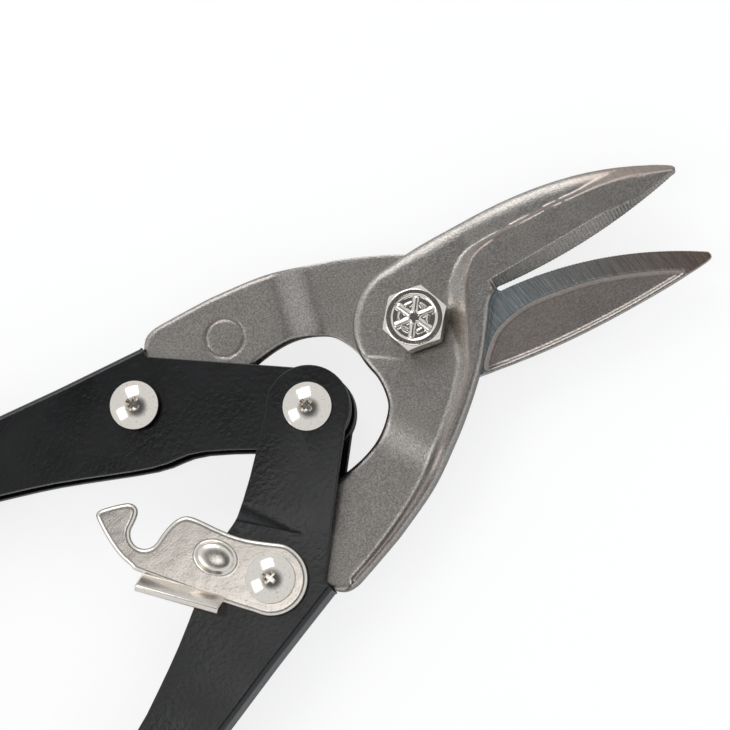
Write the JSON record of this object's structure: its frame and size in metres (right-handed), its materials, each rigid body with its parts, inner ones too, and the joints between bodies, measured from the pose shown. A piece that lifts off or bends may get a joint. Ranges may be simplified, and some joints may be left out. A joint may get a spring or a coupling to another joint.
{
  "type": "aviation snips",
  "caption": "Left-cutting aviation snips with two offset serrated jaws, a compound linkage of two channel handles with moulded grips, a return spring and a hook latch.",
  "frame": {"origin": "on the main pivot's axis, in the plane that the tool lies on", "axes": "+X runs from the handles to the blade tips along the tool, +Z is the thickness of the tool and points to its front face, +Y points to the upper handle"},
  "size_m": [0.2526, 0.1568, 0.0204],
  "materials": {
    "blasted_steel": "bead blasted forging with ground edges",
    "bright_nickel": "bright nickel plate",
    "nickel_plate": "nickel plated stamping with rounded edges",
    "black_enamel": "glossy black enamel with a fine orange peel",
    "red_grip": "moulded soft plastic",
    "bronze": "sintered bronze",
    "spring_steel": "oiled spring wire"
  },
  "bodies": {
    "handle_upper": {"handle_upper": "black_enamel", "grip_upper": "red_grip", "link_screw_upper": "bright_nickel", "link_washer_upper": "bright_nickel", "link_nut_upper": "bright_nickel", "latch_post": "bright_nickel", "return_spring": "spring_steel"},
    "handle_lower": {"handle_lower": "black_enamel", "grip_lower": "red_grip", "handle_pivot_screw": "bright_nickel", "handle_pivot_bushing": "bronze", "handle_pivot_washer": "bright_nickel", "handle_pivot_nut": "bright_nickel", "link_screw_lower": "bright_nickel", "link_washer_lower": "bright_nickel", "link_nut_lower": "bright_nickel", "latch_washer": "bright_nickel"},
    "jaw_rear": {"jaw_rear": "blasted_steel", "pivot_bolt": "bright_nickel", "pivot_washer": "bright_nickel", "pivot_nut": "bright_nickel"},
    "jaw_front": {"jaw_front": "blasted_steel"},
    "latch": {"latch": "nickel_plate"}
  },
  "joints": [
    {"name": "handle_close", "type": "hinge", "parent": "handle_upper", "child": "handle_lower", "pos_m": [-0.03001, 0, 0.01], "axis": [0, 0, -1], "range_deg": [0, 33.9], "stiffness_Nm_per_rad": 1, "springref_deg": -17.19, "deforming": ["return_spring"]},
    {"name": "rear_arm_pivot", "type": "hinge", "parent": "handle_upper", "child": "jaw_rear", "pos_m": [-0.0592, 0.02432, 0.01], "axis": [0, 0, -1], "range_deg": [0, 8.1]},
    {"name": "main_pivot", "type": "hinge", "parent": "jaw_rear", "child": "jaw_front", "pos_m": [0, 0, 0.01], "axis": [0, 0, -1], "range_deg": [0, 17.9]},
    {"name": "latch_pivot", "type": "hinge", "parent": "handle_lower", "child": "latch", "pos_m": [-0.0592, -0.02432, 0.01], "axis": [0, 0, -1], "range_deg": [-25, 14.5]}
  ],
  "couplings": [
    {"joint": "rear_arm_pivot", "follows": "handle_close", "ratio": 0.237},
    {"joint": "main_pivot", "follows": "handle_close", "ratio": 0.5262}
  ]
}
